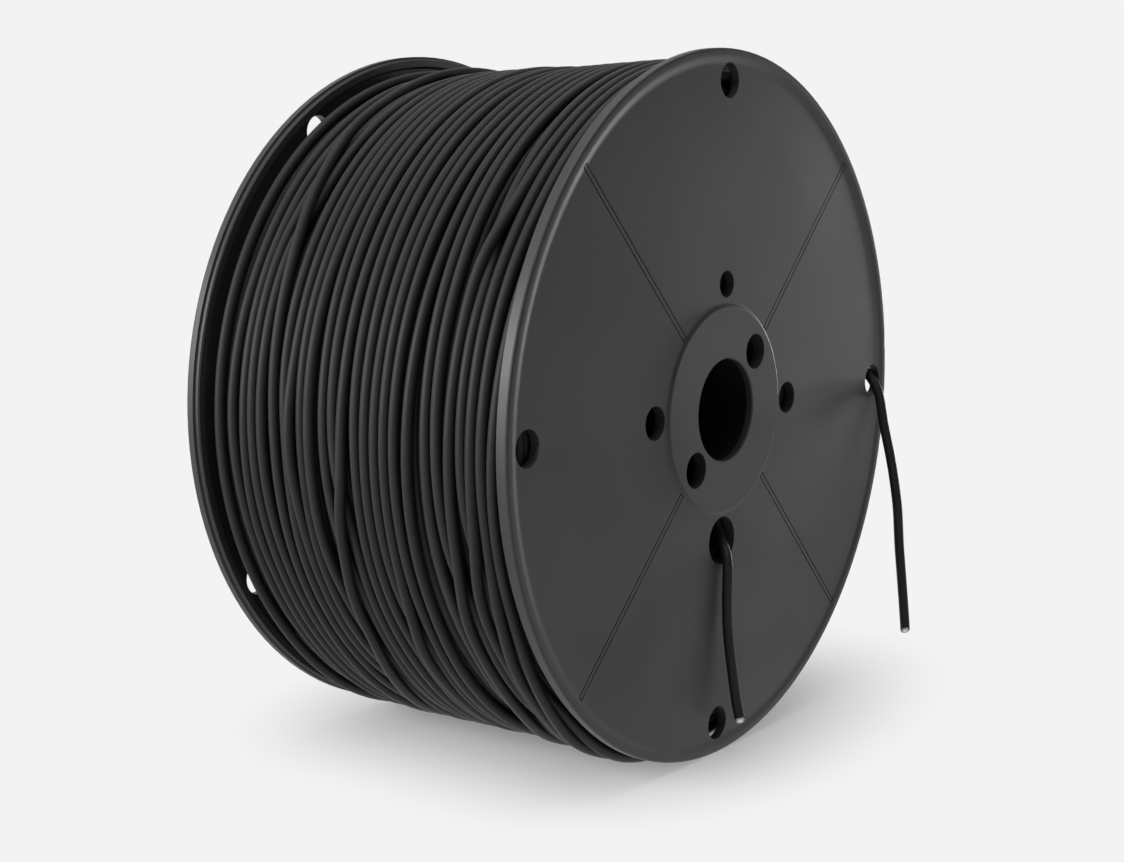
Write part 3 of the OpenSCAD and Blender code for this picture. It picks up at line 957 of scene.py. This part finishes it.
# How far a point is from the foot of the reel, 1 where the painted white hides its shadow:
# x over its reach to the right or the left, and y past the foot over its reach.
coords = tree.nodes.new("ShaderNodeTexCoord")
parts = tree.nodes.new("ShaderNodeSeparateXYZ")
feed(tree, parts.inputs[0], coords.outputs["Object"])
beside = maths(tree, "MAXIMUM", maths(tree, "DIVIDE", parts.outputs["X"], REACH_RIGHT),
               maths(tree, "DIVIDE", parts.outputs["X"], -REACH_LEFT))
past = maths(tree, "SUBTRACT", maths(tree, "ABSOLUTE", parts.outputs["Y"]), FOOT)
past = maths(tree, "DIVIDE", maths(tree, "MAXIMUM", past, 0.0), REACH_PAST)
joined = tree.nodes.new("ShaderNodeCombineXYZ")
feed(tree, joined.inputs["X"], beside), feed(tree, joined.inputs["Y"], past)
far = tree.nodes.new("ShaderNodeVectorMath")
far.operation = "LENGTH"
feed(tree, far.inputs[0], joined.outputs[0])
fade = spread(tree, far.outputs["Value"], FADE_FROM, FADE_TO, FADE_LEAST, 1.0)
rays = tree.nodes.new("ShaderNodeLightPath")
shown = maths(tree, "MAXIMUM", maths(tree, "MULTIPLY", fade, rays.outputs["Is Camera Ray"]),
              any_of(tree, rays, "Is Glossy Ray", "Is Transmission Ray"))
both = mixed_shader(tree, shown, shader.outputs[0], glow.outputs[0])
feed(tree, tree.nodes["Material Output"].inputs["Surface"], both)
paint(floor, paper)
print("floor at z =", FLOOR * MM)

# %% [markdown]
# ## The studio's own light
# Black plastic shows what it mirrors more than its own colour. The studio is
# bright behind the reel and to its left, and dim towards the front. One
# direction and two smooth ramps say that: a weak one for the soft light that
# fills the gaps, a stronger one for what a glossy skin mirrors. The camera
# itself sees plain white.

# %% World
DIM_SOFT, BRIGHT_SOFT, DIM_GLOSS = 0.09, 0.3, 0.32
BRIGHT_WAY = (-0.35, 0.85, 0.4)
world = bpy.data.worlds.new("studio")
bpy.context.scene.world = world
world.use_nodes = True
tree = world.node_tree
coords = tree.nodes.new("ShaderNodeTexCoord")
aim = tree.nodes.new("ShaderNodeVectorMath")
aim.operation = "DOT_PRODUCT"
aim.inputs[1].default_value = tuple(unit(np.array(BRIGHT_WAY)))
feed(tree, aim.inputs[0], coords.outputs["Generated"])
towards = aim.outputs["Value"]
soft = tree.nodes["Background"]
mirrored, plain = (tree.nodes.new("ShaderNodeBackground") for _ in range(2))
for shade, strength in ((soft, spread(tree, towards, -0.3, 0.9, DIM_SOFT, BRIGHT_SOFT)),
                        (mirrored, spread(tree, towards, -0.25, 0.45, DIM_GLOSS, WHITE)),
                        (plain, WHITE)):
    shade.inputs["Color"].default_value = (1, 1, 1, 1)
    feed(tree, shade.inputs["Strength"], strength)
rays = tree.nodes.new("ShaderNodeLightPath")
glossy = mixed_shader(tree, rays.outputs["Is Glossy Ray"], soft.outputs[0], mirrored.outputs[0])
both = mixed_shader(tree, any_of(tree, rays, "Is Camera Ray", "Is Transmission Ray"),
                    glossy, plain.outputs[0])
feed(tree, tree.nodes["World Output"].inputs["Surface"], both)
print("studio:", world.name)

# %% [markdown]
# ## The lamps
# Four soft lamps do the rest: two low ones at the right that graze the front
# flange and throw the tails' shadows across it, a large one behind at the
# left that draws the rims and the left edge of every turn, and one overhead.

# %% Lamps
# name: (direction from the reel, distance in m, width and height in m, power in W)
LAMPS = {
    "key": ((10.0, -1.0, 0.45), 2.4, (0.14, 0.3), 8.0),
    "near_key": ((10.0, -1.0, -0.8), 1.2, (0.10, 0.06), 1.6),
    "edge": ((-8.4, 5.2, 2.6), 2.4, (1.0, 1.0), 52.0),
    "top": ((-0.5, -0.4, 4.0), 2.6, (1.8, 1.8), 26.0),
}


def lamp(name, direction, distance, size, power):
    """A soft lamp in a direction from the reel, aimed at it and unseen itself."""
    data = bpy.data.lights.new(name, "AREA")
    data.shape, data.energy = "RECTANGLE", power
    data.size, data.size_y = size
    made = bpy.data.objects.new(name, data)
    bpy.context.scene.collection.objects.link(made)
    back = unit(np.array(direction, float))
    side = unit(np.cross([0.0, 0.0, 1.0], back))
    made.matrix_world = placement(side, np.cross(back, side), back, back * distance)
    made.visible_camera = False


for name, measures in LAMPS.items():
    lamp(name, *measures)
